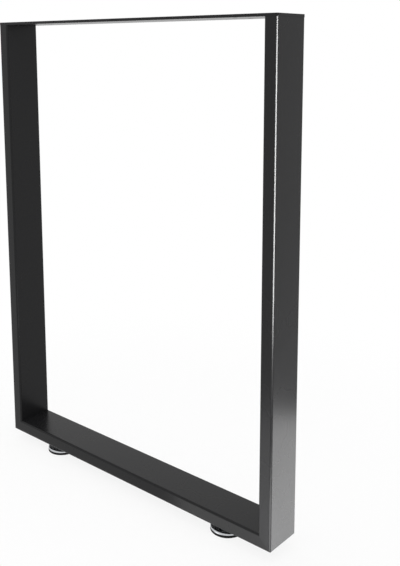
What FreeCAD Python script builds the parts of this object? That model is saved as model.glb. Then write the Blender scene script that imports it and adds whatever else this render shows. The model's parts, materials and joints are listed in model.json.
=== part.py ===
# U-shaped table leg: two uprights and a bottom rail of flat rectangular steel tube, mitred into a U,
# a flat mounting plate across the open top, and two swivel levelling feet screwed in under the rail.
# Millimetres, +Z up. X runs along the leg's width, Y along the tube's depth, and the floor is Z = 0.
import FreeCAD, Part
import Sketcher
import os

DRIVING_SIZES = [
    # name, millimetres, what it is
    ("overall_width", 550, "outside of one upright to the outside of the other"),
    ("overall_height", 720, "floor to the top of the mounting plate, feet screwed right in"),
    ("tube_depth", 60, "wide side of the tube"),
    ("tube_thickness", 20, "narrow side of the tube"),
    ("tube_wall", 2, "wall of the tube"),
    ("tube_corner_radius", 3, "outside rounding along the tube's four corners"),
    ("plate_thickness", 4, "flat bar of the mounting plate"),
    ("plate_corner_radius", 2, "rounding of the plate's corners, seen from above"),
    ("plate_edge_chamfer", 0.5, "broken edge round the plate's underside"),
    ("screw_hole_diameter", 7, "clearance hole for a table-top screw"),
    ("screw_span", 400, "first screw column to the last"),
    ("screw_row_gap", 32, "front screw row to the back one"),
    ("foot_inset", 95, "outside of an upright to the axis of its foot"),
    ("foot_diameter", 50, "outside of the foot's pressed cup"),
    ("cup_sheet", 1.5, "sheet that the cup is pressed from"),
    ("cup_top_height", 7, "floor to the flat top of the cup"),
    ("cup_shoulder", 2.2, "broad chamfer round the cup's upper edge"),
    ("hub_diameter", 24, "raised middle of the cup, which carries the collar"),
    ("hub_height", 10, "floor to the top of the raised middle"),
    ("pad_height", 4, "floor to the cup's lower edge, which rests on the pad"),
    ("pad_bore", 20, "hole through the middle of the pad"),
    ("pad_clearance", 0.2, "pad to the inside of the cup, on the radius"),
    ("thread_diameter", 10, "stud, over the crests of its thread"),
    ("thread_clearance", 0.05, "stud to insert, on the radius"),
    ("stud_length", 18, "collar to the tip of the stud"),
    ("collar_across_flats", 17, "hexagon that a spanner turns"),
    ("collar_thickness", 4.5, "hexagon, along the stud"),
    ("neck_diameter", 8, "plain neck that turns in the cup"),
    ("neck_clearance", 0.08, "neck to the hole in the cup, on the radius"),
    ("button_diameter", 14, "riveted end that holds the neck in the cup"),
    ("button_thickness", 2, "riveted end, along the stud"),
    ("seat_clearance", 0.2, "running gap between faces that turn on each other"),
    ("insert_diameter", 13, "shank of the weld nut in the rail's lower wall"),
    ("insert_clearance", 0.1, "shank to the hole in the wall, on the radius"),
    ("insert_height", 13, "rail's underside to the top of the weld nut"),
    ("flange_diameter", 18, "weld nut's flange under the rail"),
    ("flange_thickness", 2, "weld nut's flange"),
    ("cut_margin", 5, "how far a cutting outline reaches past what it cuts"),
]

# Levels above the floor, as formulas on the sheet
HUB_INSIDE = "(Sizes.hub_height - Sizes.cup_sheet)"
CUP_INSIDE = "(Sizes.cup_top_height - Sizes.cup_sheet)"
COLLAR_UNDERSIDE = "(Sizes.hub_height + Sizes.seat_clearance)"
COLLAR_TOP = f"({COLLAR_UNDERSIDE} + Sizes.collar_thickness)"
STUD_TIP = f"({COLLAR_TOP} + Sizes.stud_length)"
RAIL_UNDERSIDE = f"({COLLAR_TOP} + Sizes.seat_clearance + Sizes.flange_thickness)"
PLATE_UNDERSIDE = "(Sizes.overall_height - Sizes.plate_thickness)"

# Lengths and half sizes, as formulas on the sheet
UPRIGHT_LENGTH = f"({PLATE_UNDERSIDE} - {RAIL_UNDERSIDE})"
HALF_WIDTH = "(Sizes.overall_width / 2)"
HALF_THICKNESS = "(Sizes.tube_thickness / 2)"
INNER_DEPTH = "(Sizes.tube_depth - 2 * Sizes.tube_wall)"
INNER_THICKNESS = "(Sizes.tube_thickness - 2 * Sizes.tube_wall)"
INNER_RADIUS = "max(Sizes.tube_corner_radius - Sizes.tube_wall; Sizes.tube_wall / 4)"
CUP_INSIDE_RADIUS = "(Sizes.foot_diameter / 2 - Sizes.cup_sheet)"
FOOT_OFFSET = f"({HALF_WIDTH} - Sizes.foot_inset)"
UPRIGHT_OFFSET = f"({HALF_WIDTH} - {HALF_THICKNESS})"
MARGIN = "Sizes.cut_margin"

SIDES = {"left": -1, "right": 1}
TOLERANCE = 1e-6

doc = FreeCAD.newDocument("u_table_leg")
sheet = doc.addObject("Spreadsheet::Sheet", "Sizes")
for row, (alias, millimetres, meaning) in enumerate(DRIVING_SIZES, start=1):
    sheet.set(f"A{row}", str(millimetres))
    sheet.setAlias(f"A{row}", alias)
    sheet.set(f"B{row}", meaning)
doc.recompute()

sub_parts = []


def add_body(name):
    """A sub-part, labelled with the name of its file."""
    body = doc.addObject("PartDesign::Body", name)
    body.Label = name
    sub_parts.append(body)
    return body


def place(body, x="0", z="0", half_turn=False):
    """Puts a body at x and z in the leg's frame, turned half round about Z where it faces the other way."""
    angle = 180 if half_turn else 0
    body.Placement = FreeCAD.Placement(FreeCAD.Vector(), FreeCAD.Rotation(FreeCAD.Vector(0, 0, 1), angle))
    body.setExpression("Placement.Base.x", x)
    body.setExpression("Placement.Base.z", z)


def add_sketch(body, name, role, lift=None):
    """A sketch on one of the body's origin planes, lifted along the plane's normal by a formula."""
    sketch = body.newObject("Sketcher::SketchObject", f"{body.Name}_{name}")
    plane = next(item for item in body.Origin.OriginFeatures if item.Role == role)
    sketch.AttachmentSupport = [(plane, "")]
    sketch.MapMode = "FlatFace"
    if lift:
        sketch.setExpression("AttachmentOffset.Base.z", lift)
    return sketch


def bind(sketch, constraint, name, formula):
    """Adds a named constraint to a sketch and ties its value to the sheet."""
    index = sketch.addConstraint(constraint)
    sketch.renameConstraint(index, name)
    sketch.setExpression(f"Constraints.{name}", formula)


def pin_point(sketch, name, geometry, end, x, y):
    """Ties one point of a sketch to two formulas, measured from the sketch's origin."""
    value_x = float(sketch.evalExpression(x))
    value_y = float(sketch.evalExpression(y))
    bind(sketch, Sketcher.Constraint("DistanceX", geometry, end, value_x), f"{name}_x", x)
    bind(sketch, Sketcher.Constraint("DistanceY", geometry, end, value_y), f"{name}_y", y)


def draw_outline(sketch, name, corners):
    """A closed outline of straight lines through corners that are given as pairs of formulas."""
    points = []
    for x, y in corners:
        points.append(FreeCAD.Vector(float(sketch.evalExpression(x)), float(sketch.evalExpression(y)), 0))
    lines = []
    for start, end in zip(points, points[1:] + points[:1]):
        lines.append(sketch.addGeometry(Part.LineSegment(start, end), False))
    for line, following in zip(lines, lines[1:] + lines[:1]):
        sketch.addConstraint(Sketcher.Constraint("Coincident", line, 2, following, 1))
    for number, (line, (x, y)) in enumerate(zip(lines, corners)):
        pin_point(sketch, f"{name}_{number}", line, 1, x, y)


def draw_circle(sketch, name, x, y, diameter):
    """A circle whose centre and diameter are formulas."""
    centre = FreeCAD.Vector(float(sketch.evalExpression(x)), float(sketch.evalExpression(y)), 0)
    radius = float(sketch.evalExpression(diameter)) / 2
    circle = sketch.addGeometry(Part.Circle(centre, FreeCAD.Vector(0, 0, 1), radius), False)
    pin_point(sketch, name, circle, 3, x, y)
    bind(sketch, Sketcher.Constraint("Diameter", circle, 2 * radius), f"{name}_diameter", diameter)


def draw_rounded_rectangle(sketch, name, wide, high, radius):
    """A rectangle about the sketch's origin with tangent arcs at its corners, sized by formulas."""
    half_w = float(sketch.evalExpression(wide)) / 2
    half_h = float(sketch.evalExpression(high)) / 2
    r = float(sketch.evalExpression(radius))
    normal = FreeCAD.Vector(0, 0, 1)
    quarter = FreeCAD.Units.parseQuantity("90 deg").getValueAs("rad").Value
    # Going round anticlockwise from the lower side: a side, then the arc at its end
    signs = [(1, -1), (1, 1), (-1, 1), (-1, -1)]
    sides = []
    arcs = []
    for number, (sx, sy) in enumerate(signs):
        before_x, before_y = signs[number - 1]
        level = number % 2 == 0
        if level:
            start = FreeCAD.Vector(before_x * (half_w - r), before_y * half_h, 0)
            end = FreeCAD.Vector(sx * (half_w - r), sy * half_h, 0)
        else:
            start = FreeCAD.Vector(before_x * half_w, before_y * (half_h - r), 0)
            end = FreeCAD.Vector(sx * half_w, sy * (half_h - r), 0)
        sides.append(sketch.addGeometry(Part.LineSegment(start, end), False))
        circle = Part.Circle(FreeCAD.Vector(sx * (half_w - r), sy * (half_h - r), 0), normal, r)
        arc = Part.ArcOfCircle(circle, (number - 1) * quarter, number * quarter)
        arcs.append(sketch.addGeometry(arc, False))
    for number in range(4):
        following = (number + 1) % 4
        sketch.addConstraint(Sketcher.Constraint("Tangent", sides[number], 2, arcs[number], 1))
        sketch.addConstraint(Sketcher.Constraint("Tangent", arcs[number], 2, sides[following], 1))
        direction = "Horizontal" if number % 2 == 0 else "Vertical"
        sketch.addConstraint(Sketcher.Constraint(direction, sides[number]))
        if number:
            sketch.addConstraint(Sketcher.Constraint("Equal", arcs[0], arcs[number]))
    bind(sketch, Sketcher.Constraint("Radius", arcs[0], r), f"{name}_radius", radius)
    lower, right, upper, left = sides
    bind(sketch, Sketcher.Constraint("DistanceY", lower, 1, -half_h), f"{name}_lower", f"-{high} / 2")
    bind(sketch, Sketcher.Constraint("DistanceX", right, 1, half_w), f"{name}_right", f"{wide} / 2")
    bind(sketch, Sketcher.Constraint("DistanceY", upper, 1, half_h), f"{name}_upper", f"{high} / 2")
    bind(sketch, Sketcher.Constraint("DistanceX", left, 1, -half_w), f"{name}_left", f"-{wide} / 2")


def add_pad(body, sketch, length, both_ways=False):
    """Extrudes a sketch along its plane's normal, or evenly to both sides of the plane."""
    pad = body.newObject("PartDesign::Pad", f"{sketch.Name}_pad")
    pad.Profile = sketch
    pad.setExpression("Length", length)
    pad.Midplane = both_ways
    doc.recompute()
    return pad


def check_cut(feature, volume_before):
    """Stops where a cut took nothing away, as one that points away from the solid does."""
    doc.recompute()
    if not feature.Shape.Volume < volume_before - TOLERANCE:
        raise RuntimeError(f"{feature.Name} cuts nothing")


def add_pocket(body, sketch, length=None):
    """Cuts a sketch right through, both ways, or down from its plane by a length."""
    volume_before = body.Shape.Volume
    pocket = body.newObject("PartDesign::Pocket", f"{sketch.Name}_pocket")
    pocket.Profile = sketch
    if length:
        pocket.setExpression("Length", length)
    else:
        pocket.Type = "ThroughAll"
        pocket.Midplane = True
    check_cut(pocket, volume_before)


def add_revolution(body, sketch):
    """Turns a sketch once round its upright axis."""
    turned = body.newObject("PartDesign::Revolution", f"{sketch.Name}_turned")
    turned.Profile = sketch
    turned.ReferenceAxis = (sketch, ["V_Axis"])
    turned.Angle = 360
    doc.recompute()
    return turned


def add_chamfer(body, feature, edges, breadth):
    """Breaks the named edges of a feature."""
    chamfer = body.newObject("PartDesign::Chamfer", f"{feature.Name}_chamfer")
    chamfer.Base = (feature, edges)
    chamfer.setExpression("Size", breadth)
    doc.recompute()


def edges_where(feature, wanted):
    """Names of a feature's edges that pass a test."""
    return [f"Edge{n}" for n, edge in enumerate(feature.Shape.Edges, start=1) if wanted(edge)]


def draw_tube_section(sketch, wide, high, inner_wide, inner_high):
    """The tube's section: its outside and, one wall in, its inside."""
    draw_rounded_rectangle(sketch, "outside", wide, high, "Sizes.tube_corner_radius")
    draw_rounded_rectangle(sketch, "inside", inner_wide, inner_high, INNER_RADIUS)


def make_upright(name, side):
    """Upright tube. Its outside runs down to the mitre's outer edge, its inside stops at the rail's top."""
    body = add_body(name)
    section = add_sketch(body, "section", "XY_Plane")
    draw_tube_section(section, "Sizes.tube_thickness", "Sizes.tube_depth", INNER_THICKNESS, INNER_DEPTH)
    add_pad(body, section, UPRIGHT_LENGTH)
    mitre = add_sketch(body, "mitre", "XZ_Plane")
    draw_outline(mitre, "cut", [
        (f"-{HALF_THICKNESS} - {MARGIN}", f"-{MARGIN}"),
        (f"{HALF_THICKNESS} + {MARGIN}", f"-{MARGIN}"),
        (f"{HALF_THICKNESS} + {MARGIN}", f"Sizes.tube_thickness + {MARGIN}"),
    ])
    add_pocket(body, mitre)
    place(body, x=f"{side} * {UPRIGHT_OFFSET}", z=RAIL_UNDERSIDE, half_turn=side > 0)


def make_bottom_rail(name):
    """Bottom rail, mitred at both ends, with a hole in its lower wall for each foot's weld nut."""
    body = add_body(name)
    section = add_sketch(body, "section", "YZ_Plane")
    draw_tube_section(section, "Sizes.tube_depth", "Sizes.tube_thickness", INNER_DEPTH, INNER_THICKNESS)
    add_pad(body, section, "Sizes.overall_width", both_ways=True)
    mitres = add_sketch(body, "mitres", "XZ_Plane")
    for side_name, side in SIDES.items():
        draw_outline(mitres, side_name, [
            (f"{side} * ({HALF_WIDTH} + {MARGIN})", f"-{HALF_THICKNESS} - {MARGIN}"),
            (f"{side} * ({HALF_WIDTH} + {MARGIN})", f"{HALF_THICKNESS} + {MARGIN}"),
            (f"{side} * ({HALF_WIDTH} - Sizes.tube_thickness - {MARGIN})", f"{HALF_THICKNESS} + {MARGIN}"),
        ])
    add_pocket(body, mitres)
    holes = add_sketch(body, "insert_holes", "XY_Plane")
    for side_name, side in SIDES.items():
        diameter = "Sizes.insert_diameter + 2 * Sizes.insert_clearance"
        draw_circle(holes, side_name, f"{side} * {FOOT_OFFSET}", "0", diameter)
    add_pocket(body, holes, length="Sizes.tube_thickness")
    place(body, z=f"{RAIL_UNDERSIDE} + {HALF_THICKNESS}")


def make_top_plate(name):
    """Mounting plate on top of both uprights, with screw holes for the table top between them."""
    body = add_body(name)
    outline = add_sketch(body, "outline", "XY_Plane")
    draw_rounded_rectangle(outline, "bar", "Sizes.overall_width", "Sizes.tube_depth", "Sizes.plate_corner_radius")
    bar = add_pad(body, outline, "Sizes.plate_thickness")
    lower_edges = edges_where(bar, lambda edge: edge.BoundBox.ZMax < TOLERANCE)
    add_chamfer(body, bar, lower_edges, "Sizes.plate_edge_chamfer")
    holes = add_sketch(body, "screw_holes", "XY_Plane")
    for column_name, column in SIDES.items():
        for row_name, row in (("front", -1), ("back", 1)):
            x = f"{column} * Sizes.screw_span / 2"
            y = f"{row} * Sizes.screw_row_gap / 2"
            draw_circle(holes, f"{row_name}_{column_name}", x, y, "Sizes.screw_hole_diameter")
    add_pocket(body, holes)
    place(body, z=PLATE_UNDERSIDE)


def make_insert(name, side):
    """Flanged weld nut: its shank sits in the hole in the rail's lower wall, its flange under the rail."""
    body = add_body(name)
    bore = "Sizes.thread_diameter / 2 + Sizes.thread_clearance"
    shank = "Sizes.insert_diameter / 2"
    flange = "Sizes.flange_diameter / 2"
    profile = add_sketch(body, "profile", "XZ_Plane")
    draw_outline(profile, "half", [
        (bore, "-Sizes.flange_thickness"),
        (flange, "-Sizes.flange_thickness"),
        (flange, "0"),
        (shank, "0"),
        (shank, "Sizes.insert_height"),
        (bore, "Sizes.insert_height"),
    ])
    add_revolution(body, profile)
    place(body, x=f"{side} * {FOOT_OFFSET}", z=RAIL_UNDERSIDE)


def make_foot_stud(name, side):
    """Threaded stud with a hexagon collar over the cup, and a riveted button that keeps it in the cup."""
    body = add_body(name)
    thread = "Sizes.thread_diameter / 2"
    neck = "Sizes.neck_diameter / 2"
    button = "Sizes.button_diameter / 2"
    button_top = f"{HUB_INSIDE} - Sizes.seat_clearance"
    button_bottom = f"{button_top} - Sizes.button_thickness"
    profile = add_sketch(body, "profile", "XZ_Plane")
    draw_outline(profile, "half", [
        ("0", button_bottom),
        (button, button_bottom),
        (button, button_top),
        (neck, button_top),
        (neck, COLLAR_UNDERSIDE),
        (thread, COLLAR_UNDERSIDE),
        (thread, STUD_TIP),
        ("0", STUD_TIP),
    ])
    add_revolution(body, profile)
    corner = "Sizes.collar_across_flats / 2 / cos(30 deg)"
    hexagon = add_sketch(body, "hexagon", "XY_Plane", lift=COLLAR_UNDERSIDE)
    corners = []
    for number in range(6):
        angle = f"{60 * number} deg"
        corners.append((f"{corner} * cos({angle})", f"{corner} * sin({angle})"))
    draw_outline(hexagon, "collar", corners)
    add_pad(body, hexagon, "Sizes.collar_thickness")
    # The hexagon's upper corners are turned off at 30 degrees, as on a nut
    flat = "Sizes.collar_across_flats / 2"
    outside = f"{corner} + {MARGIN}"
    chamfer = add_sketch(body, "chamfer", "XZ_Plane")
    draw_outline(chamfer, "corner", [
        (flat, COLLAR_TOP),
        (outside, f"{COLLAR_TOP} - ({outside} - {flat}) * tan(30 deg)"),
        (outside, f"{COLLAR_TOP} + {MARGIN}"),
        (flat, f"{COLLAR_TOP} + {MARGIN}"),
    ])
    volume_before = body.Shape.Volume
    groove = body.newObject("PartDesign::Groove", f"{name}_collar_chamfer")
    groove.Profile = chamfer
    groove.ReferenceAxis = (chamfer, ["V_Axis"])
    groove.Angle = 360
    check_cut(groove, volume_before)
    place(body, x=f"{side} * {FOOT_OFFSET}")


def make_foot_base(name, side):
    """Cup pressed from sheet, with a raised middle that the stud is riveted through."""
    body = add_body(name)
    rim = "Sizes.foot_diameter / 2"
    hub = "Sizes.hub_diameter / 2"
    neck_hole = "Sizes.neck_diameter / 2 + Sizes.neck_clearance"
    profile = add_sketch(body, "profile", "XZ_Plane")
    draw_outline(profile, "half", [
        (CUP_INSIDE_RADIUS, "Sizes.pad_height"),
        (rim, "Sizes.pad_height"),
        (rim, "Sizes.cup_top_height - Sizes.cup_shoulder"),
        (f"{rim} - Sizes.cup_shoulder", "Sizes.cup_top_height"),
        (hub, "Sizes.cup_top_height"),
        (hub, "Sizes.hub_height"),
        (neck_hole, "Sizes.hub_height"),
        (neck_hole, HUB_INSIDE),
        (f"{hub} - Sizes.cup_sheet", HUB_INSIDE),
        (f"{hub} - Sizes.cup_sheet", CUP_INSIDE),
        (CUP_INSIDE_RADIUS, CUP_INSIDE),
    ])
    add_revolution(body, profile)
    place(body, x=f"{side} * {FOOT_OFFSET}")


def make_foot_pad(name, side):
    """Anti-slip pad that fills the cup and carries its lower edge, open in the middle under the rivet."""
    body = add_body(name)
    outside = "Sizes.foot_diameter / 2"
    inside = "Sizes.pad_bore / 2"
    spigot = f"{CUP_INSIDE_RADIUS} - Sizes.pad_clearance"
    profile = add_sketch(body, "profile", "XZ_Plane")
    draw_outline(profile, "half", [
        (inside, "0"),
        (outside, "0"),
        (outside, "Sizes.pad_height"),
        (spigot, "Sizes.pad_height"),
        (spigot, CUP_INSIDE),
        (inside, CUP_INSIDE),
    ])
    add_revolution(body, profile)
    place(body, x=f"{side} * {FOOT_OFFSET}")


def check_document():
    """Stops before anything is written if an object failed or a sub-part has no valid solid."""
    doc.recompute()
    for item in doc.Objects:
        if "Invalid" in item.State or "Error" in item.State:
            raise RuntimeError(f"{item.Label} failed: {item.State}")
    for body in sub_parts:
        if body.Shape.isNull() or not body.Shape.isValid() or len(body.Shape.Solids) != 1:
            raise RuntimeError(f"{body.Label} is not one valid solid")


for side_name, side in SIDES.items():
    make_upright(f"{side_name}_upright", side)
make_bottom_rail("bottom_rail")
make_top_plate("top_plate")
for side_name, side in SIDES.items():
    make_insert(f"{side_name}_threaded_insert", side)
    make_foot_stud(f"{side_name}_foot_stud", side)
    make_foot_base(f"{side_name}_foot_base", side)
    make_foot_pad(f"{side_name}_foot_pad", side)
check_document()

os.makedirs("parts", exist_ok=True)
for body in sub_parts:
    body.Shape.exportStep(f"parts/{body.Label}.step")
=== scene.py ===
"""Looks of a U-shaped table leg: coated tube frame, mounting plate and swivel levelling feet."""
import json
import math

import bpy
from bpy.props import (
    FloatProperty, FloatVectorProperty, IntProperty, PointerProperty, StringProperty)
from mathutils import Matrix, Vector


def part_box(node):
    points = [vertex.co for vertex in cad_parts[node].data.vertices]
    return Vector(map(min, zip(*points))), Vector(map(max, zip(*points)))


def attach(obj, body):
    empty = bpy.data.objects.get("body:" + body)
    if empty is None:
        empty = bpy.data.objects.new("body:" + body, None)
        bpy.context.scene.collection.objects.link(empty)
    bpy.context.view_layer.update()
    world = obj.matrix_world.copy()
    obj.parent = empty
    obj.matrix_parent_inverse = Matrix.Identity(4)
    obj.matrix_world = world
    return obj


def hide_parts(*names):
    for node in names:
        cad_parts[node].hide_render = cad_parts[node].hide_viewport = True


bl_info = {
    "name": "U-shaped table leg",
    "version": (1, 0, 0),
    "blender": (4, 5, 0),
    "location": "View3D > Sidebar > Table Leg",
    "description": "Models and finishes a U-shaped table leg round its CAD frame",
    "category": "Object",
}

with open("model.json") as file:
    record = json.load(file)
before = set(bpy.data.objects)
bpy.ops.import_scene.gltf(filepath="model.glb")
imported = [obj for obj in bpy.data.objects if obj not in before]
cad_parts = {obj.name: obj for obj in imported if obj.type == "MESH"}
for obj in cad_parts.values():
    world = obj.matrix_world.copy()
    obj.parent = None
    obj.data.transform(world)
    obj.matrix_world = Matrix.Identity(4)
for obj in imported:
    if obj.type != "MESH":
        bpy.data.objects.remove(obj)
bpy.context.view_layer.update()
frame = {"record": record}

MM = 0.001
HOLE_STEPS = 48
PLATE_CORNER_STEPS = 4
SMOOTH_ANGLE = math.radians(30)
HEXAGON_CHAMFER = math.radians(30)
MERGE_DISTANCE = 0.002 * MM
UP = Vector((0, 0, 1))

FULL_WHITE = 1.0
FLOOR_SIZE = 12.0
FLOOR_FADE = (0.3, 0.9)  # metres from the leg's middle, over which the floor runs into the surround
FLOOR_LAMP_SPREAD = math.radians(50)
CLIP_END = 50.0
SENSOR_WIDTH = 36.0  # millimetres

# Each lamp's place, what it faces, its width and height in metres, and its power in watts.
# The strip draws the bright line on the right upright's front corner. The floor lamps make the glow
# low on the right side and the front, and the soft step round the corner between them. The right
# and the front one face the camera's mirror image in those sides, and reach below the floor.
LAMPS = {
    "gloss_strip": ((0.57, -0.22, 0.48), (0.275, -0.03, 0.48), 0.3, 0.56, 38),
    "overhead_lamp": ((0.1, -0.3, 1.8), (0.1, -0.1, 0), 1.2, 1.2, 9),
    "right_floor_lamp": ((0.4035, 0.1576, -0.038), (-0.28, -0.83, 0.68), 0.24, 0.255, 0.072),
    "front_floor_lamp": ((0.1657, -0.2308, -0.038), (0.83, 0.77, 0.68), 0.35, 0.255, 0.045),
    "corner_floor_lamp": ((0.4, -0.115, 0.005), (0.4, -0.115, 1), 0.235, 0.17, 1.1),
}


def node_body(node):
    """The body that carries a CAD node."""
    bodies = frame["record"]["behaviour"]["bodies"]
    return next(body for body, nodes in bodies.items() if node in nodes)


def mount(name):
    """One of the record's mounts, by its name."""
    return next(item for item in frame["record"]["mounts"] if item["name"] == name)


class LegSizes(bpy.types.PropertyGroup):
    """Sizes of the leg's details that the boxes of its CAD nodes don't give."""

    tube_wall: FloatProperty(
        name="Tube wall", description="Wall of the steel tube",
        default=2 * MM, unit="LENGTH", subtype="DISTANCE", precision=5)
    tube_corner: FloatProperty(
        name="Tube corner", description="Outside rounding along the tube's corners",
        default=3 * MM, unit="LENGTH", subtype="DISTANCE", precision=5)
    corner_steps: IntProperty(
        name="Corner steps", description="Faces across one rounded corner of the tube",
        default=6, min=2, max=12)
    mitre_break: FloatProperty(
        name="Mitre break", description="Flat ground on the outer edge of a mitred corner",
        default=0.9 * MM, unit="LENGTH", subtype="DISTANCE", precision=5)
    plate_corner: FloatProperty(
        name="Plate corner", description="Rounding of the plate's corners, seen from above",
        default=2 * MM, unit="LENGTH", subtype="DISTANCE", precision=5)
    plate_edge: FloatProperty(
        name="Plate edge", description="Rounding along the plate's edges and screw holes",
        default=0.5 * MM, unit="LENGTH", subtype="DISTANCE", precision=5)
    cup_sheet: FloatProperty(
        name="Cup sheet", description="Sheet that the foot's cup is pressed from",
        default=1.5 * MM, unit="LENGTH", subtype="DISTANCE", precision=5)
    cup_top: FloatProperty(
        name="Cup top", description="Floor to the flat top of the cup",
        default=7 * MM, unit="LENGTH", subtype="DISTANCE", precision=5)
    cup_shoulder: FloatProperty(
        name="Cup shoulder", description="Outside rounding of the cup's upper edge",
        default=2.4 * MM, unit="LENGTH", subtype="DISTANCE", precision=5)
    hub_diameter: FloatProperty(
        name="Hub", description="Raised middle of the cup",
        default=24 * MM, unit="LENGTH", subtype="DISTANCE", precision=5)
    neck_hole: FloatProperty(
        name="Neck hole", description="Hole in the cup that the stud's neck turns in",
        default=8.16 * MM, unit="LENGTH", subtype="DISTANCE", precision=5)
    pad_bore: FloatProperty(
        name="Pad bore", description="Hole through the middle of the pad",
        default=20 * MM, unit="LENGTH", subtype="DISTANCE", precision=5)
    pad_clearance: FloatProperty(
        name="Pad clearance", description="Pad to the inside of the cup, on the radius",
        default=0.2 * MM, unit="LENGTH", subtype="DISTANCE", precision=5)
    neck_diameter: FloatProperty(
        name="Neck", description="Plain neck of the stud",
        default=8 * MM, unit="LENGTH", subtype="DISTANCE", precision=5)
    button_diameter: FloatProperty(
        name="Rivet", description="Riveted end of the stud inside the cup",
        default=14 * MM, unit="LENGTH", subtype="DISTANCE", precision=5)
    button_thickness: FloatProperty(
        name="Rivet thickness", description="Riveted end, along the stud",
        default=2 * MM, unit="LENGTH", subtype="DISTANCE", precision=5)
    collar_across_flats: FloatProperty(
        name="Collar", description="Hexagon of the stud, across its flats",
        default=17 * MM, unit="LENGTH", subtype="DISTANCE", precision=5)
    collar_thickness: FloatProperty(
        name="Collar thickness", description="Hexagon of the stud, along its axis",
        default=4.5 * MM, unit="LENGTH", subtype="DISTANCE", precision=5)
    stud_length: FloatProperty(
        name="Stud", description="Collar to the tip of the stud",
        default=18 * MM, unit="LENGTH", subtype="DISTANCE", precision=5)
    thread_diameter: FloatProperty(
        name="Thread", description="Stud, over the crests of its thread",
        default=10 * MM, unit="LENGTH", subtype="DISTANCE", precision=5)
    thread_pitch: FloatProperty(
        name="Pitch", description="One turn of the stud's thread",
        default=1.5 * MM, unit="LENGTH", subtype="DISTANCE", precision=5)
    thread_depth: FloatProperty(
        name="Thread depth", description="Crest to root of the thread",
        default=0.92 * MM, unit="LENGTH", subtype="DISTANCE", precision=5)
    insert_bore: FloatProperty(
        name="Nut bore", description="Hole through the weld nut",
        default=10.1 * MM, unit="LENGTH", subtype="DISTANCE", precision=5)
    insert_shank: FloatProperty(
        name="Nut shank", description="Barrel of the weld nut",
        default=13 * MM, unit="LENGTH", subtype="DISTANCE", precision=5)
    nut_hole: FloatProperty(
        name="Nut hole", description="Hole in the rail's lower wall for the weld nut's barrel",
        default=13.2 * MM, unit="LENGTH", subtype="DISTANCE", precision=5)
    flange_thickness: FloatProperty(
        name="Nut flange", description="Weld nut's flange under the rail",
        default=2 * MM, unit="LENGTH", subtype="DISTANCE", precision=5)
    nut_edge: FloatProperty(
        name="Nut edge", description="Rounding of the weld nut's edges",
        default=0.2 * MM, unit="LENGTH", subtype="DISTANCE", precision=5)
    rivet_edge: FloatProperty(
        name="Rivet edge", description="Rounding of the stud's riveted end",
        default=0.3 * MM, unit="LENGTH", subtype="DISTANCE", precision=5)
    collar_edge: FloatProperty(
        name="Collar edge", description="Rounding of the hexagon's edges",
        default=0.15 * MM, unit="LENGTH", subtype="DISTANCE", precision=5)
    cup_edge: FloatProperty(
        name="Cup edge", description="Rounding of the cup's cut edges",
        default=0.15 * MM, unit="LENGTH", subtype="DISTANCE", precision=5)
    cup_fold: FloatProperty(
        name="Cup fold", description="Rounding where the cup's raised middle begins and ends",
        default=1.2 * MM, unit="LENGTH", subtype="DISTANCE", precision=5)
    pad_edge: FloatProperty(
        name="Pad edge", description="Rounding of the moulded pad's edges",
        default=0.4 * MM, unit="LENGTH", subtype="DISTANCE", precision=5)
    turned_steps: IntProperty(
        name="Turned steps", description="Faces round a turned piece",
        default=96, min=24, max=256)


class LegFinishes(bpy.types.PropertyGroup):
    """Colours and gloss of the leg's materials."""

    coat_colour: StringProperty(
        name="Coat", description="Powder coat, as an sRGB hex value", default="#19191a")
    coat_roughness: FloatProperty(
        name="Coat roughness", description="Roughness of the satin powder coat",
        default=0.27, min=0, max=1, subtype="FACTOR")
    coat_grain: FloatProperty(
        name="Coat grain", description="Spacing of the powder coat's orange peel",
        default=1.1 * MM, unit="LENGTH", subtype="DISTANCE", precision=5)
    zinc_colour: StringProperty(
        name="Zinc", description="Bright zinc plate, as an sRGB hex value", default="#c4c6c9")
    zinc_roughness: FloatProperty(
        name="Zinc roughness", description="Roughness of the zinc plate",
        default=0.22, min=0, max=1, subtype="FACTOR")
    rubber_colour: StringProperty(
        name="Rubber", description="Moulded rubber, as an sRGB hex value", default="#121212")
    rubber_roughness: FloatProperty(
        name="Rubber roughness", description="Roughness of the moulded rubber",
        default=0.6, min=0, max=1, subtype="FACTOR")


class StudioSettings(bpy.types.PropertyGroup):
    """Camera, lamps and floor."""

    camera_place: FloatVectorProperty(
        name="Camera", description="Place of the camera",
        default=(0.8317, -0.8276, 0.6756), size=3, unit="LENGTH", subtype="TRANSLATION")
    camera_azimuth: FloatProperty(
        name="Azimuth", description="Camera's turn to the right of looking along +Y",
        default=math.radians(40.26), unit="ROTATION", subtype="ANGLE")
    camera_elevation: FloatProperty(
        name="Elevation", description="How far the camera looks down",
        default=math.radians(8.9), unit="ROTATION", subtype="ANGLE")
    lens: FloatProperty(
        name="Lens", description="Focal length on a 36 mm frame, in millimetres", default=50.85)
    shift: FloatVectorProperty(
        name="Shift", description="Lens shift, half the photograph's, to keep other views whole",
        default=(-0.0025, -0.19), size=2)
    surround: FloatProperty(
        name="Surround", description="Strength of the soft light from all round",
        default=0.8, min=0)
    floor_colour: StringProperty(
        name="Floor", description="Floor, as an sRGB hex value", default="#f4f4f4")
    floor_clear: FloatProperty(
        name="Floor clear", description="How much of the white surround shows through the floor",
        default=0.88, min=0, max=1, subtype="FACTOR")


def linear_colour(hex_value):
    """An sRGB hex value as linear red, green, blue and alpha."""
    channels = [int(hex_value[place:place + 2], 16) / 255 for place in (1, 3, 5)]
    linear = [c / 12.92 if c <= 0.04045 else ((c + 0.055) / 1.055) ** 2.4 for c in channels]
    return (*linear, 1.0)


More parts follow.
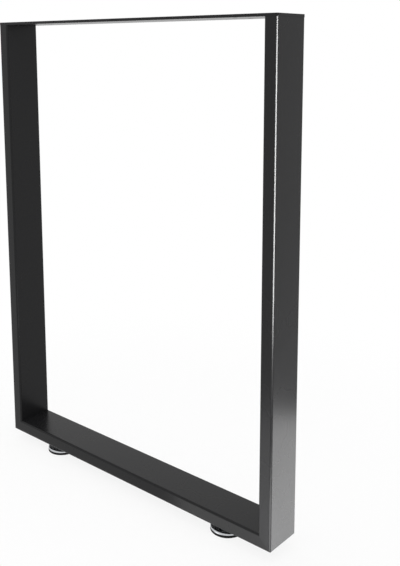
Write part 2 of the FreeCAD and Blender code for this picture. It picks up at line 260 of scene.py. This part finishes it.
def add_node(tree, kind, links=(), inputs=(), **settings):
    """Adds a node with its settings and input values, and links other nodes' outputs to it."""
    node = tree.nodes.new(kind)
    for key, value in settings.items():
        setattr(node, key, value)
    for key, value in dict(inputs).items():
        node.inputs[key].default_value = value
    for key, socket in dict(links).items():
        tree.links.new(socket, node.inputs[key])
    return node


def start_material(name):
    """A new material with its node tree and its shader, output linked."""
    material = bpy.data.materials.new(name)
    material.use_nodes = True
    tree = material.node_tree
    return material, tree, tree.nodes["Principled BSDF"]


def powder_coat(finishes):
    """Satin black polyester powder, baked on steel: soft gloss over a fine orange peel."""
    name = "satin_black_powder_coat"
    if name in bpy.data.materials:
        return bpy.data.materials[name]
    material, tree, shader = start_material(name)
    peel_depth, cloud_size, gloss_spread = 0.02 * MM, 60 * MM, 0.01
    darker, lighter = 0.85, 1.15
    place = add_node(tree, "ShaderNodeTexCoord")
    peel = add_node(
        tree, "ShaderNodeTexNoise", {"Vector": place.outputs["Object"]},
        {"Scale": 1 / finishes.coat_grain, "Detail": 3.0, "Roughness": 0.55})
    bump = add_node(
        tree, "ShaderNodeBump", {"Height": peel.outputs["Fac"]},
        {"Strength": 0.1, "Distance": peel_depth})
    cloud = add_node(
        tree, "ShaderNodeTexNoise", {"Vector": place.outputs["Object"]},
        {"Scale": 1 / cloud_size, "Detail": 2.0, "Roughness": 0.5})
    gloss = add_node(
        tree, "ShaderNodeMapRange", {"Value": cloud.outputs["Fac"]},
        {"From Min": 0.3, "From Max": 0.7,
         "To Min": finishes.coat_roughness - gloss_spread,
         "To Max": finishes.coat_roughness + gloss_spread})
    base = linear_colour(finishes.coat_colour)
    tint = add_node(
        tree, "ShaderNodeMix", {"Factor": peel.outputs["Fac"]}, data_type="RGBA")
    tint.inputs["A"].default_value = [darker * channel for channel in base[:3]] + [1]
    tint.inputs["B"].default_value = [lighter * channel for channel in base[:3]] + [1]
    tree.links.new(tint.outputs["Result"], shader.inputs["Base Color"])
    tree.links.new(gloss.outputs["Result"], shader.inputs["Roughness"])
    tree.links.new(bump.outputs["Normal"], shader.inputs["Normal"])
    # Matched to the photograph: the usual level of 0.5 leaves the black flats too pale
    shader.inputs["IOR"].default_value = 1.5
    shader.inputs["Specular IOR Level"].default_value = 0.17
    return material


def zinc_plate(finishes):
    """Bright zinc plate on pressed and turned steel: clear metal gloss with a faint cloudy haze."""
    name = "bright_zinc_plate"
    if name in bpy.data.materials:
        return bpy.data.materials[name]
    material, tree, shader = start_material(name)
    haze_size, gloss_spread, darker = 3 * MM, 0.06, 0.92
    place = add_node(tree, "ShaderNodeTexCoord")
    haze = add_node(
        tree, "ShaderNodeTexNoise", {"Vector": place.outputs["Object"]},
        {"Scale": 1 / haze_size, "Detail": 4.0, "Roughness": 0.6})
    gloss = add_node(
        tree, "ShaderNodeMapRange", {"Value": haze.outputs["Fac"]},
        {"From Min": 0.3, "From Max": 0.7,
         "To Min": finishes.zinc_roughness - gloss_spread,
         "To Max": finishes.zinc_roughness + gloss_spread})
    base = linear_colour(finishes.zinc_colour)
    tint = add_node(
        tree, "ShaderNodeMix", {"Factor": haze.outputs["Fac"]}, data_type="RGBA")
    tint.inputs["A"].default_value = [darker * channel for channel in base[:3]] + [1]
    tint.inputs["B"].default_value = base
    tree.links.new(tint.outputs["Result"], shader.inputs["Base Color"])
    tree.links.new(gloss.outputs["Result"], shader.inputs["Roughness"])
    shader.inputs["Metallic"].default_value = 1.0
    return material


def moulded_rubber(finishes):
    """Black moulded rubber: dull, with the fine spark-eroded texture of its mould."""
    name = "moulded_black_rubber"
    if name in bpy.data.materials:
        return bpy.data.materials[name]
    material, tree, shader = start_material(name)
    # Such a texture is usually near 0.1 mm, too fine to show, so it is drawn coarser
    grit_size, grit_depth = 0.6 * MM, 0.06 * MM
    darker, lighter = 0.7, 1.3
    place = add_node(tree, "ShaderNodeTexCoord")
    grit = add_node(
        tree, "ShaderNodeTexNoise", {"Vector": place.outputs["Object"]},
        {"Scale": 1 / grit_size, "Detail": 3.0, "Roughness": 0.6})
    bump = add_node(
        tree, "ShaderNodeBump", {"Height": grit.outputs["Fac"]},
        {"Strength": 0.3, "Distance": grit_depth})
    base = linear_colour(finishes.rubber_colour)
    tint = add_node(
        tree, "ShaderNodeMix", {"Factor": grit.outputs["Fac"]}, data_type="RGBA")
    tint.inputs["A"].default_value = [darker * channel for channel in base[:3]] + [1]
    tint.inputs["B"].default_value = [lighter * channel for channel in base[:3]] + [1]
    tree.links.new(tint.outputs["Result"], shader.inputs["Base Color"])
    tree.links.new(bump.outputs["Normal"], shader.inputs["Normal"])
    shader.inputs["Roughness"].default_value = finishes.rubber_roughness
    shader.inputs["IOR"].default_value = 1.52
    shader.inputs["Specular IOR Level"].default_value = 0.15
    return material


def deselect_all():
    """Leaves edit mode and deselects every object."""
    if bpy.context.mode != "OBJECT":
        bpy.ops.object.mode_set(mode="OBJECT")
    bpy.ops.object.select_all(action="DESELECT")


def take(piece):
    """Makes one piece the only selected object and the active one."""
    deselect_all()
    piece.select_set(True)
    bpy.context.view_layer.objects.active = piece


def start_piece(name, add_primitive, **settings):
    """Adds a primitive, names it and leaves its place and size in its mesh."""
    deselect_all()
    add_primitive(**settings)
    piece = bpy.context.active_object
    piece.name = name
    piece.data.name = name
    bpy.ops.object.transform_apply(location=True, rotation=True, scale=True)
    return piece


def edit(piece, kind):
    """Opens a piece in edit mode, selecting vertices, edges or faces, with nothing selected."""
    take(piece)
    bpy.context.tool_settings.mesh_select_mode = [kind == word for word in ("VERT", "EDGE", "FACE")]
    bpy.ops.object.mode_set(mode="EDIT")
    bpy.ops.mesh.select_all(action="DESELECT")


def pick_edges(piece, wanted):
    """Opens a piece with the edges selected whose two ends pass a test."""
    edit(piece, "EDGE")
    bpy.ops.object.mode_set(mode="OBJECT")
    points = piece.data.vertices
    for edge in piece.data.edges:
        start, end = (points[index].co for index in edge.vertices)
        edge.select = wanted(start, end)
    bpy.ops.object.mode_set(mode="EDIT")


def pick_faces(piece, wanted):
    """Opens a piece with the faces selected whose normal passes a test."""
    edit(piece, "FACE")
    bpy.ops.object.mode_set(mode="OBJECT")
    for polygon in piece.data.polygons:
        polygon.select = wanted(polygon.normal)
    bpy.ops.object.mode_set(mode="EDIT")


def shape(piece, kind, **settings):
    """Adds a modifier with its settings and applies it."""
    take(piece)
    modifier = piece.modifiers.new(kind.lower(), kind)
    for key, value in settings.items():
        setattr(modifier, key, value)
    bpy.ops.object.modifier_apply(modifier=modifier.name)


def soften(piece, width, steps=3):
    """Rounds every edge of a piece that is sharper than the smoothing angle."""
    shape(
        piece, "BEVEL", width=width, segments=steps, limit_method="ANGLE",
        angle_limit=SMOOTH_ANGLE, use_clamp_overlap=True)


def finish_piece(piece, material, node):
    """Shades a piece, gives it its finish, and puts it in the place of its CAD node."""
    take(piece)
    bpy.ops.object.shade_smooth_by_angle(angle=SMOOTH_ANGLE)
    shape(piece, "WEIGHTED_NORMAL", keep_sharp=True, weight=100)
    piece.data.materials.clear()
    piece.data.materials.append(material)
    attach(piece, node_body(node))
    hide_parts(node)


def finish_pair(left_piece, material, part):
    """Copies a left piece with its own mesh, half a turn round the leg's middle. Finishes both."""
    take(left_piece)
    bpy.ops.object.duplicate(linked=False)
    right_piece = bpy.context.active_object
    right_piece.name = left_piece.name.replace("left", "right")
    right_piece.data.name = right_piece.name
    bpy.ops.transform.rotate(value=math.pi, orient_axis="Z", center_override=(0, 0, 0))
    bpy.ops.object.transform_apply(location=True, rotation=True, scale=True)
    finish_piece(left_piece, material, f"left_{part}")
    finish_piece(right_piece, material, f"right_{part}")


def drill_holes(piece, places, radius, low, high):
    """Drills upright holes through a piece, with one drill that goes from place to place."""
    drill = start_piece(
        "drill", bpy.ops.mesh.primitive_cylinder_add,
        vertices=HOLE_STEPS, radius=radius, depth=high - low)
    for x, y in places:
        drill.location = (x, y, (low + high) / 2)
        shape(piece, "BOOLEAN", operation="DIFFERENCE", object=drill, solver="EXACT")
    bpy.data.objects.remove(drill)


def cut(piece, point, normal, fill):
    """Cuts a piece with a plane and drops what lies on the side that the normal points to."""
    edit(piece, "FACE")
    bpy.ops.mesh.select_all(action="SELECT")
    bpy.ops.mesh.bisect(plane_co=point, plane_no=normal, use_fill=fill, clear_outer=True)
    bpy.ops.object.mode_set(mode="OBJECT")


def close_tube_end(piece):
    """Joins the outer and the inner loop of a tube's open end with a ring of faces."""
    edit(piece, "EDGE")
    bpy.ops.mesh.select_non_manifold(
        extend=False, use_wire=False, use_boundary=True, use_multi_face=False,
        use_non_contiguous=False, use_verts=False)
    bpy.ops.mesh.bridge_edge_loops()
    bpy.ops.object.mode_set(mode="OBJECT")


def add_tube(name, node, sizes):
    """A straight hollow tube with rounded corners that fills a CAD node's box."""
    low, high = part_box(node)
    spans = high - low
    along = max(range(3), key=lambda axis: spans[axis])
    tube = start_piece(
        name, bpy.ops.mesh.primitive_cube_add, size=1, location=(low + high) / 2, scale=spans)
    pick_edges(tube, lambda start, end: abs(end[along] - start[along]) > spans[along] / 2)
    bpy.ops.mesh.bevel(offset=sizes.tube_corner, segments=sizes.corner_steps, affect="EDGES")
    pick_faces(tube, lambda normal: abs(normal[along]) > math.cos(SMOOTH_ANGLE))
    bpy.ops.mesh.delete(type="ONLY_FACE")
    bpy.ops.object.mode_set(mode="OBJECT")
    shape(tube, "SOLIDIFY", thickness=sizes.tube_wall, offset=-1.0, use_rim=True)
    return tube


def mitre(tube, side, keep_upright, sizes):
    """Cuts one mitred end of the U at a lower corner, and breaks its sharp outer edge."""
    low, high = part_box("bottom_rail")
    corner = Vector((high.x if side == "right" else low.x, 0, low.z))
    outward = Vector((1 if side == "right" else -1, 0, 0))
    drop = (-outward - UP) if keep_upright else (outward + UP)
    cut(tube, corner, drop.normalized(), fill=False)
    close_tube_end(tube)
    edge_normal = (outward - UP).normalized()
    cut(tube, corner - edge_normal * sizes.mitre_break / math.sqrt(2), edge_normal, fill=True)


class LEG_OT_tube_frame(bpy.types.Operator):
    """Models the two uprights and the bottom rail as mitred steel tube"""

    bl_idname = "leg.tube_frame"
    bl_label = "Tube Frame"

    def execute(self, context):
        sizes = context.scene.leg_sizes
        coat = powder_coat(context.scene.leg_finishes)
        upright = add_tube("left_upright_tube", "left_upright", sizes)
        mitre(upright, "left", True, sizes)
        finish_pair(upright, coat, "upright")
        rail = add_tube("bottom_rail_tube", "bottom_rail", sizes)
        for side in ("left", "right"):
            mitre(rail, side, False, sizes)
        nut_places = [mount(f"{side}_floor_seat")["pos_m"][:2] for side in ("left", "right")]
        rail_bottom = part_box("bottom_rail")[0].z
        drill_start = rail_bottom - sizes.tube_wall
        drill_end = rail_bottom + 2 * sizes.tube_wall
        drill_holes(rail, nut_places, sizes.nut_hole / 2, drill_start, drill_end)
        finish_piece(rail, coat, "bottom_rail")
        return {"FINISHED"}


def screw_places():
    """Centres of the plate's screw holes, from the record's bolt pattern, in metres."""
    dims = mount("table_top_screws")["dims"]
    half_span, half_gap = dims["spacing_x_mm"] * MM / 2, dims["spacing_y_mm"] * MM / 2
    return [(x, y) for x in (-half_span, half_span) for y in (-half_gap, half_gap)]


class LEG_OT_mounting_plate(bpy.types.Operator):
    """Models the flat bar across the top, with its screw holes"""

    bl_idname = "leg.mounting_plate"
    bl_label = "Mounting Plate"

    def execute(self, context):
        sizes = context.scene.leg_sizes
        node = "top_plate"
        low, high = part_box(node)
        spans = high - low
        plate = start_piece(
            "mounting_plate", bpy.ops.mesh.primitive_cube_add,
            size=1, location=(low + high) / 2, scale=spans)
        pick_edges(plate, lambda start, end: abs(end.z - start.z) > spans.z / 2)
        bpy.ops.mesh.bevel(
            offset=sizes.plate_corner, segments=PLATE_CORNER_STEPS, affect="EDGES")
        bpy.ops.object.mode_set(mode="OBJECT")
        hole_radius = mount("table_top_screws")["dims"]["hole_r_mm"] * MM
        drill_holes(plate, screw_places(), hole_radius, low.z - spans.z, high.z + spans.z)
        soften(plate, sizes.plate_edge)
        finish_piece(plate, powder_coat(context.scene.leg_finishes), node)
        return {"FINISHED"}


def arc(centre_radius, centre_height, radius, start, end, steps=6):
    """Points (radius, height) of a round stretch of an outline, between two angles in degrees."""
    angles = [math.radians(start + (end - start) * step / steps) for step in range(steps + 1)]
    return [
        (centre_radius + radius * math.cos(angle), centre_height + radius * math.sin(angle))
        for angle in angles]


def turn(name, centre, outline, steps):
    """Turns a closed outline of (radius, height) about an upright axis, one ring for each point."""
    radius, height = outline[0]
    piece = start_piece(
        name, bpy.ops.mesh.primitive_circle_add, vertices=steps, radius=radius,
        fill_type="NOTHING", location=(centre.x, centre.y, height))
    edit(piece, "EDGE")
    bpy.ops.mesh.select_all(action="SELECT")
    for next_radius, next_height in outline[1:] + outline[:1]:
        bpy.ops.mesh.extrude_region_move(
            TRANSFORM_OT_translate={"value": (0, 0, next_height - height)})
        scale = next_radius / radius
        bpy.ops.transform.resize(
            value=(scale, scale, 1), center_override=(centre.x, centre.y, next_height))
        radius, height = next_radius, next_height
    bpy.ops.mesh.select_all(action="SELECT")
    bpy.ops.mesh.remove_doubles(threshold=MERGE_DISTANCE)
    bpy.ops.mesh.normals_make_consistent(inside=False)
    bpy.ops.object.mode_set(mode="OBJECT")
    return piece


class LEG_OT_weld_nuts(bpy.types.Operator):
    """Models the flanged weld nuts in the rail's lower wall"""

    bl_idname = "leg.weld_nuts"
    bl_label = "Weld Nuts"

    def execute(self, context):
        sizes = context.scene.leg_sizes
        low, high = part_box("left_threaded_insert")
        wall = low.z + sizes.flange_thickness
        flange, shank, bore = (high.x - low.x) / 2, sizes.insert_shank / 2, sizes.insert_bore / 2
        outline = [
            (bore, low.z), (flange, low.z), (flange, wall),
            (shank, wall), (shank, high.z), (bore, high.z),
        ]
        nut = turn("left_weld_nut", (low + high) / 2, outline, sizes.turned_steps)
        soften(nut, sizes.nut_edge)
        finish_pair(nut, zinc_plate(context.scene.leg_finishes), "threaded_insert")
        return {"FINISHED"}


def add_thread(name, centre, bottom, top, sizes):
    """A threaded rod: the V of one pitch, screwed up the axis and cut flat at both ends."""
    deselect_all()
    crest = sizes.thread_diameter / 2
    root = crest - sizes.thread_depth
    pitch = sizes.thread_pitch
    turns = math.ceil((top - bottom) / pitch) + 2
    # A ring of four corners, stood on edge, which becomes the V when its inner corner goes
    bpy.ops.mesh.primitive_circle_add(
        vertices=4, radius=1, location=(centre.x, centre.y, bottom - pitch),
        rotation=(math.pi / 2, 0, 0))
    rod = bpy.context.active_object
    rod.name = name
    bpy.ops.object.transform_apply(location=False, rotation=True, scale=True)
    edit(rod, "VERT")
    bpy.ops.object.mode_set(mode="OBJECT")
    corners = sorted(rod.data.vertices, key=lambda vertex: vertex.co.x)
    corners[0].select = True
    bpy.ops.object.mode_set(mode="EDIT")
    bpy.ops.mesh.delete(type="VERT")
    bpy.ops.mesh.select_all(action="SELECT")
    bpy.ops.transform.resize(
        value=(sizes.thread_depth, 1, pitch / 2), center_override=rod.location)
    bpy.ops.transform.translate(value=(root, 0, 0))
    bpy.ops.object.mode_set(mode="OBJECT")
    shape(
        rod, "SCREW", axis="Z", angle=2 * math.pi, screw_offset=pitch, iterations=turns,
        steps=sizes.turned_steps // 2, render_steps=sizes.turned_steps // 2,
        use_merge_vertices=True, merge_threshold=MERGE_DISTANCE)
    take(rod)
    bpy.ops.object.transform_apply(location=True, rotation=True, scale=True)
    cut(rod, (centre.x, centre.y, top), UP, fill=True)
    cut(rod, (centre.x, centre.y, bottom), -UP, fill=True)
    edit(rod, "FACE")
    bpy.ops.mesh.select_all(action="SELECT")
    bpy.ops.mesh.normals_make_consistent(inside=False)
    bpy.ops.object.mode_set(mode="OBJECT")
    return rod


def add_hexagon(name, centre, bottom, top, sizes):
    """A hexagon collar whose corners are turned off at 30 degrees, as on a nut."""
    flat = sizes.collar_across_flats / 2
    corner = flat / math.cos(math.pi / 6)
    middle = (bottom + top) / 2
    collar = start_piece(
        name, bpy.ops.mesh.primitive_cylinder_add, vertices=6, radius=corner,
        depth=top - bottom, location=(centre.x, centre.y, middle))
    cone_height = (top - bottom) * 2
    spread = cone_height / math.tan(HEXAGON_CHAMFER)
    cone = start_piece(
        "collar_chamfer", bpy.ops.mesh.primitive_cone_add, vertices=sizes.turned_steps,
        radius1=flat + spread, radius2=flat, depth=cone_height,
        location=(centre.x, centre.y, top - cone_height / 2))
    shape(collar, "BOOLEAN", operation="INTERSECT", object=cone, solver="EXACT")
    bpy.data.objects.remove(cone)
    soften(collar, sizes.collar_edge, 2)
    return collar


class LEG_OT_swivel_studs(bpy.types.Operator):
    """Models the threaded studs with their hexagon collar and riveted end"""

    bl_idname = "leg.swivel_studs"
    bl_label = "Swivel Studs"

    def execute(self, context):
        sizes = context.scene.leg_sizes
        low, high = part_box("left_foot_stud")
        centre = (low + high) / 2
        collar_top = high.z - sizes.stud_length
        collar_bottom = collar_top - sizes.collar_thickness
        button, neck = sizes.button_diameter / 2, sizes.neck_diameter / 2
        button_top = low.z + sizes.button_thickness
        outline = [
            (neck / 2, low.z), (button, low.z), (button, button_top),
            (neck, button_top), (neck, collar_bottom), (neck / 2, collar_bottom),
        ]
        rivet = turn("rivet", centre, outline, sizes.turned_steps)
        soften(rivet, sizes.rivet_edge)
        collar = add_hexagon("collar", centre, collar_bottom, collar_top, sizes)
        stud = add_thread("left_swivel_stud", centre, collar_top, high.z, sizes)
        take(stud)
        rivet.select_set(True)
        collar.select_set(True)
        bpy.ops.object.join()
        finish_pair(stud, zinc_plate(context.scene.leg_finishes), "foot_stud")
        return {"FINISHED"}


class LEG_OT_foot_cups(bpy.types.Operator):
    """Models the pressed cups of the feet"""

    bl_idname = "leg.foot_cups"
    bl_label = "Foot Cups"

    def execute(self, context):
        sizes = context.scene.leg_sizes
        low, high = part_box("left_foot_base")
        rim, sheet = (high.x - low.x) / 2, sizes.cup_sheet
        top, shoulder = sizes.cup_top, sizes.cup_shoulder
        hub, hole = sizes.hub_diameter / 2, sizes.neck_hole / 2
        inner_round, fold = shoulder - sheet, sizes.cup_fold
        outline = [
            (rim - sheet, low.z), (rim, low.z),
            *arc(rim - shoulder, top - shoulder, shoulder, 0, 90),
            *arc(hub + fold, top + fold, fold, 270, 180, 4),
            *arc(hub - fold, high.z - fold, fold, 0, 90, 4),
            (hole, high.z), (hole, high.z - sheet),
            (hub - sheet, high.z - sheet), (hub - sheet, top - sheet),
            *arc(rim - shoulder, top - shoulder, inner_round, 90, 0, 4),
        ]
        cup = turn("left_foot_cup", (low + high) / 2, outline, sizes.turned_steps)
        soften(cup, sizes.cup_edge, 2)
        finish_pair(cup, zinc_plate(context.scene.leg_finishes), "foot_base")
        return {"FINISHED"}


class LEG_OT_foot_pads(bpy.types.Operator):
    """Models the rubber pads under the cups"""

    bl_idname = "leg.foot_pads"
    bl_label = "Foot Pads"

    def execute(self, context):
        sizes = context.scene.leg_sizes
        low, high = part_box("left_foot_pad")
        rim, bore = (high.x - low.x) / 2, sizes.pad_bore / 2
        spigot = rim - sizes.cup_sheet - sizes.pad_clearance
        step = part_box("left_foot_base")[0].z
        outline = [
            (bore, low.z), (rim, low.z), (rim, step),
            (spigot, step), (spigot, high.z), (bore, high.z),
        ]
        pad = turn("left_anti_slip_pad", (low + high) / 2, outline, sizes.turned_steps)
        soften(pad, sizes.pad_edge)
        finish_pair(pad, moulded_rubber(context.scene.leg_finishes), "foot_pad")
        return {"FINISHED"}


def add_lamp(name, place, target, width, height, power):
    """A soft rectangular studio lamp that the camera doesn't see."""
    deselect_all()
    aim = (Vector(target) - Vector(place)).to_track_quat("-Z", "Y")
    bpy.ops.object.light_add(type="AREA", location=place, rotation=aim.to_euler())
    lamp = bpy.context.active_object
    lamp.name = name
    lamp.data.shape = "RECTANGLE"
    lamp.data.size = width
    lamp.data.size_y = height
    lamp.data.energy = power
    lamp.visible_camera = False
    return lamp


def seen_directly(tree):
    """An output that is 1 for rays that show the background: camera, gloss and glass."""
    path = add_node(tree, "ShaderNodeLightPath")
    gloss = add_node(
        tree, "ShaderNodeMath",
        {0: path.outputs["Is Camera Ray"], 1: path.outputs["Is Glossy Ray"]}, operation="MAXIMUM")
    seen = add_node(
        tree, "ShaderNodeMath", {0: gloss.outputs[0], 1: path.outputs["Is Transmission Ray"]},
        operation="MAXIMUM")
    return seen.outputs[0]


def set_world(studio):
    """A plain white surround: full white where it is seen, softer as light."""
    world = bpy.data.worlds.new("studio_surround")
    bpy.context.scene.world = world
    world.use_nodes = True
    tree = world.node_tree
    background = tree.nodes["Background"]
    strength = add_node(
        tree, "ShaderNodeMapRange", {"Value": seen_directly(tree)},
        {"To Min": studio.surround, "To Max": FULL_WHITE})
    background.inputs["Color"].default_value = (1, 1, 1, 1)
    tree.links.new(strength.outputs["Result"], background.inputs["Strength"])


def white_floor(studio):
    """White sweep: matt, with a soft shadow, and clear enough to run into the white surround."""
    material, tree, shader = start_material("white_sweep")
    shader.inputs["Base Color"].default_value = linear_colour(studio.floor_colour)
    shader.inputs["Roughness"].default_value = 0.9
    shader.inputs["Specular IOR Level"].default_value = 0.0
    clear = add_node(tree, "ShaderNodeBsdfTransparent")
    place = add_node(tree, "ShaderNodeTexCoord")
    distance = add_node(
        tree, "ShaderNodeVectorMath", {0: place.outputs["Object"]}, operation="LENGTH")
    fade = add_node(
        tree, "ShaderNodeMapRange", {"Value": distance.outputs["Value"]},
        {"From Min": FLOOR_FADE[0], "From Max": FLOOR_FADE[1],
         "To Min": studio.floor_clear, "To Max": 1.0},
        interpolation_type="SMOOTHSTEP")
    share = add_node(
        tree, "ShaderNodeMath", {0: seen_directly(tree), 1: fade.outputs["Result"]},
        operation="MULTIPLY")
    mix = add_node(
        tree, "ShaderNodeMixShader",
        {0: share.outputs[0], 1: shader.outputs["BSDF"], 2: clear.outputs["BSDF"]})
    output = tree.nodes["Material Output"]
    tree.links.new(mix.outputs["Shader"], output.inputs["Surface"])
    return material


class LEG_OT_studio(bpy.types.Operator):
    """Sets up the floor, the lamps, the surround and the camera"""

    bl_idname = "leg.studio"
    bl_label = "Studio"

    def execute(self, context):
        studio = context.scene.leg_studio
        context.scene.view_settings.view_transform = "Standard"
        set_world(studio)
        floor = start_piece("studio_floor", bpy.ops.mesh.primitive_plane_add, size=FLOOR_SIZE)
        floor.data.materials.append(white_floor(studio))
        lamps = {name: add_lamp(name, *settings) for name, settings in LAMPS.items()}
        self.limit_strip(lamps["gloss_strip"])
        self.narrow_floor_lamps(floor, (lamps["right_floor_lamp"], lamps["front_floor_lamp"]))
        self.add_camera(context, studio)
        return {"FINISHED"}

    def limit_strip(self, strip):
        """Lets the strip show only as gloss on the right upright, and light nothing else."""
        strip.visible_diffuse = False
        lit_pieces = bpy.data.collections.new("gloss_strip_pieces")
        lit_pieces.objects.link(bpy.data.objects["right_upright_tube"])
        strip.light_linking.receiver_collection = lit_pieces

    def narrow_floor_lamps(self, floor, floor_lamps):
        """Narrows the cones of lamps that would glare in views from above."""
        # Everything but the floor shades them, because their lower parts are under it
        shade = bpy.data.collections.new("floor_lamp_shade")
        shade.objects.link(floor)
        shade.collection_objects[0].light_linking.link_state = "EXCLUDE"
        for lamp in floor_lamps:
            lamp.data.spread = FLOOR_LAMP_SPREAD
            lamp.light_linking.blocker_collection = shade

    def add_camera(self, context, studio):
        """Puts the camera at the photograph's viewing angle."""
        azimuth, elevation = studio.camera_azimuth, studio.camera_elevation
        forward = Vector((
            -math.sin(azimuth) * math.cos(elevation),
            math.cos(azimuth) * math.cos(elevation),
            -math.sin(elevation)))
        aim = forward.to_track_quat("-Z", "Y")
        deselect_all()
        bpy.ops.object.camera_add(location=studio.camera_place, rotation=aim.to_euler())
        camera = context.active_object
        camera.name = "photo_camera"
        camera.data.sensor_width = SENSOR_WIDTH
        camera.data.lens = studio.lens
        camera.data.shift_x, camera.data.shift_y = studio.shift
        camera.data.clip_end = CLIP_END
        context.scene.camera = camera


PIECES = (
    LEG_OT_tube_frame, LEG_OT_mounting_plate, LEG_OT_weld_nuts,
    LEG_OT_swivel_studs, LEG_OT_foot_cups, LEG_OT_foot_pads,
)


class LEG_PT_sidebar(bpy.types.Panel):
    """Lists the leg's pieces and its studio"""

    bl_idname = "LEG_PT_sidebar"
    bl_label = "U-Shaped Table Leg"
    bl_space_type = "VIEW_3D"
    bl_region_type = "UI"
    bl_category = "Table Leg"

    def draw(self, context):
        column = self.layout.column(align=True)
        for operator in (*PIECES, LEG_OT_studio):
            column.operator(operator.bl_idname)
        for group in SETTINGS:
            settings = getattr(context.scene, group)
            box = self.layout.box()
            for name in settings.__annotations__:
                box.prop(settings, name)


SETTINGS = {"leg_sizes": LegSizes, "leg_finishes": LegFinishes, "leg_studio": StudioSettings}
CLASSES = (*SETTINGS.values(), *PIECES, LEG_OT_studio, LEG_PT_sidebar)


def register():
    for item in CLASSES:
        bpy.utils.register_class(item)
    for name, group in SETTINGS.items():
        setattr(bpy.types.Scene, name, PointerProperty(type=group))


def unregister():
    for name in SETTINGS:
        delattr(bpy.types.Scene, name)
    for item in reversed(CLASSES):
        bpy.utils.unregister_class(item)


def main():
    register()
    bpy.ops.leg.tube_frame()
    bpy.ops.leg.mounting_plate()
    bpy.ops.leg.weld_nuts()
    bpy.ops.leg.swivel_studs()
    bpy.ops.leg.foot_cups()
    bpy.ops.leg.foot_pads()
    bpy.ops.leg.studio()


if __name__ == "__main__":
    main()
